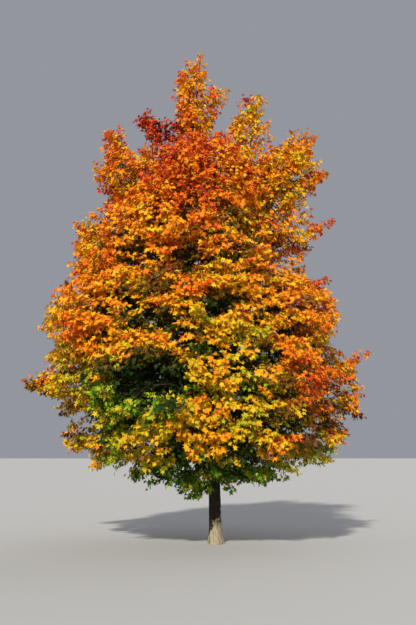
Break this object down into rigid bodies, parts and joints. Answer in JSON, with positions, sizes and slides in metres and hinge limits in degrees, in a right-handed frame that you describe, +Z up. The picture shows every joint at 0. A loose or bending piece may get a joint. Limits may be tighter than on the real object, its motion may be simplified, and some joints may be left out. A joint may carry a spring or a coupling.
{
  "type": "autumn maple tree",
  "caption": "Broad upright maple in orange, gold and red autumn leaf: a straight trunk with a root flare and a full egg-shaped head of leaves, pointed at the top and almost down to the ground.",
  "frame": {"origin": "middle of the flat cut under the trunk, at ground level", "axes": "+Z up along the trunk, +X to the right-hand side of the tree as it is looked at, -Y towards the onlooker"},
  "size_m": [6.62, 5.9188, 9.56],
  "materials": {
    "bark": "rough grey-brown bark",
    "leaves_skirt": "olive to yellow-gold autumn leaves",
    "leaves_low": "gold, orange and red autumn leaves",
    "leaves_middle": "gold and orange autumn leaves",
    "leaves_upper": "orange autumn leaves",
    "leaves_high": "red, orange and gold autumn leaves"
  },
  "bodies": {
    "root": {"trunk": "bark", "leader_back": "bark", "leader_left": "bark", "leader_right": "bark", "leader_top": "bark", "bough_front_high": "bark", "bough_left_high": "bark", "bough_low_1": "bark", "bough_low_2": "bark", "bough_low_3": "bark", "bough_low_4": "bark", "bough_low_5": "bark", "bough_low_6": "bark", "bough_middle_1": "bark", "bough_middle_2": "bark", "bough_middle_3": "bark", "bough_middle_4": "bark", "bough_middle_5": "bark", "bough_middle_6": "bark", "bough_right_high": "bark", "bough_skirt_1": "bark", "bough_skirt_2": "bark", "bough_skirt_3": "bark", "bough_skirt_4": "bark", "bough_skirt_5": "bark", "bough_upper_1": "bark", "bough_upper_2": "bark", "bough_upper_3": "bark", "bough_upper_4": "bark", "bough_upper_5": "bark", "foliage_back_high": "leaves_high", "foliage_back_right_high": "leaves_high", "foliage_front_high": "leaves_high", "foliage_left_high": "leaves_high", "foliage_left_spire": "leaves_high", "foliage_low_1": "leaves_low", "foliage_low_2": "leaves_low", "foliage_low_3": "leaves_low", "foliage_low_4": "leaves_low", "foliage_low_5": "leaves_low", "foliage_low_6": "leaves_low", "foliage_middle_1": "leaves_middle", "foliage_middle_2": "leaves_middle", "foliage_middle_3": "leaves_middle", "foliage_middle_4": "leaves_middle", "foliage_middle_5": "leaves_middle", "foliage_middle_6": "leaves_middle", "foliage_right_high": "leaves_high", "foliage_right_spire": "leaves_high", "foliage_skirt_1": "leaves_skirt", "foliage_skirt_2": "leaves_skirt", "foliage_skirt_3": "leaves_skirt", "foliage_skirt_4": "leaves_skirt", "foliage_skirt_5": "leaves_skirt", "foliage_top": "leaves_high", "foliage_upper_1": "leaves_upper", "foliage_upper_2": "leaves_upper", "foliage_upper_3": "leaves_upper", "foliage_upper_4": "leaves_upper", "foliage_upper_5": "leaves_upper"}
  },
  "joints": []
}
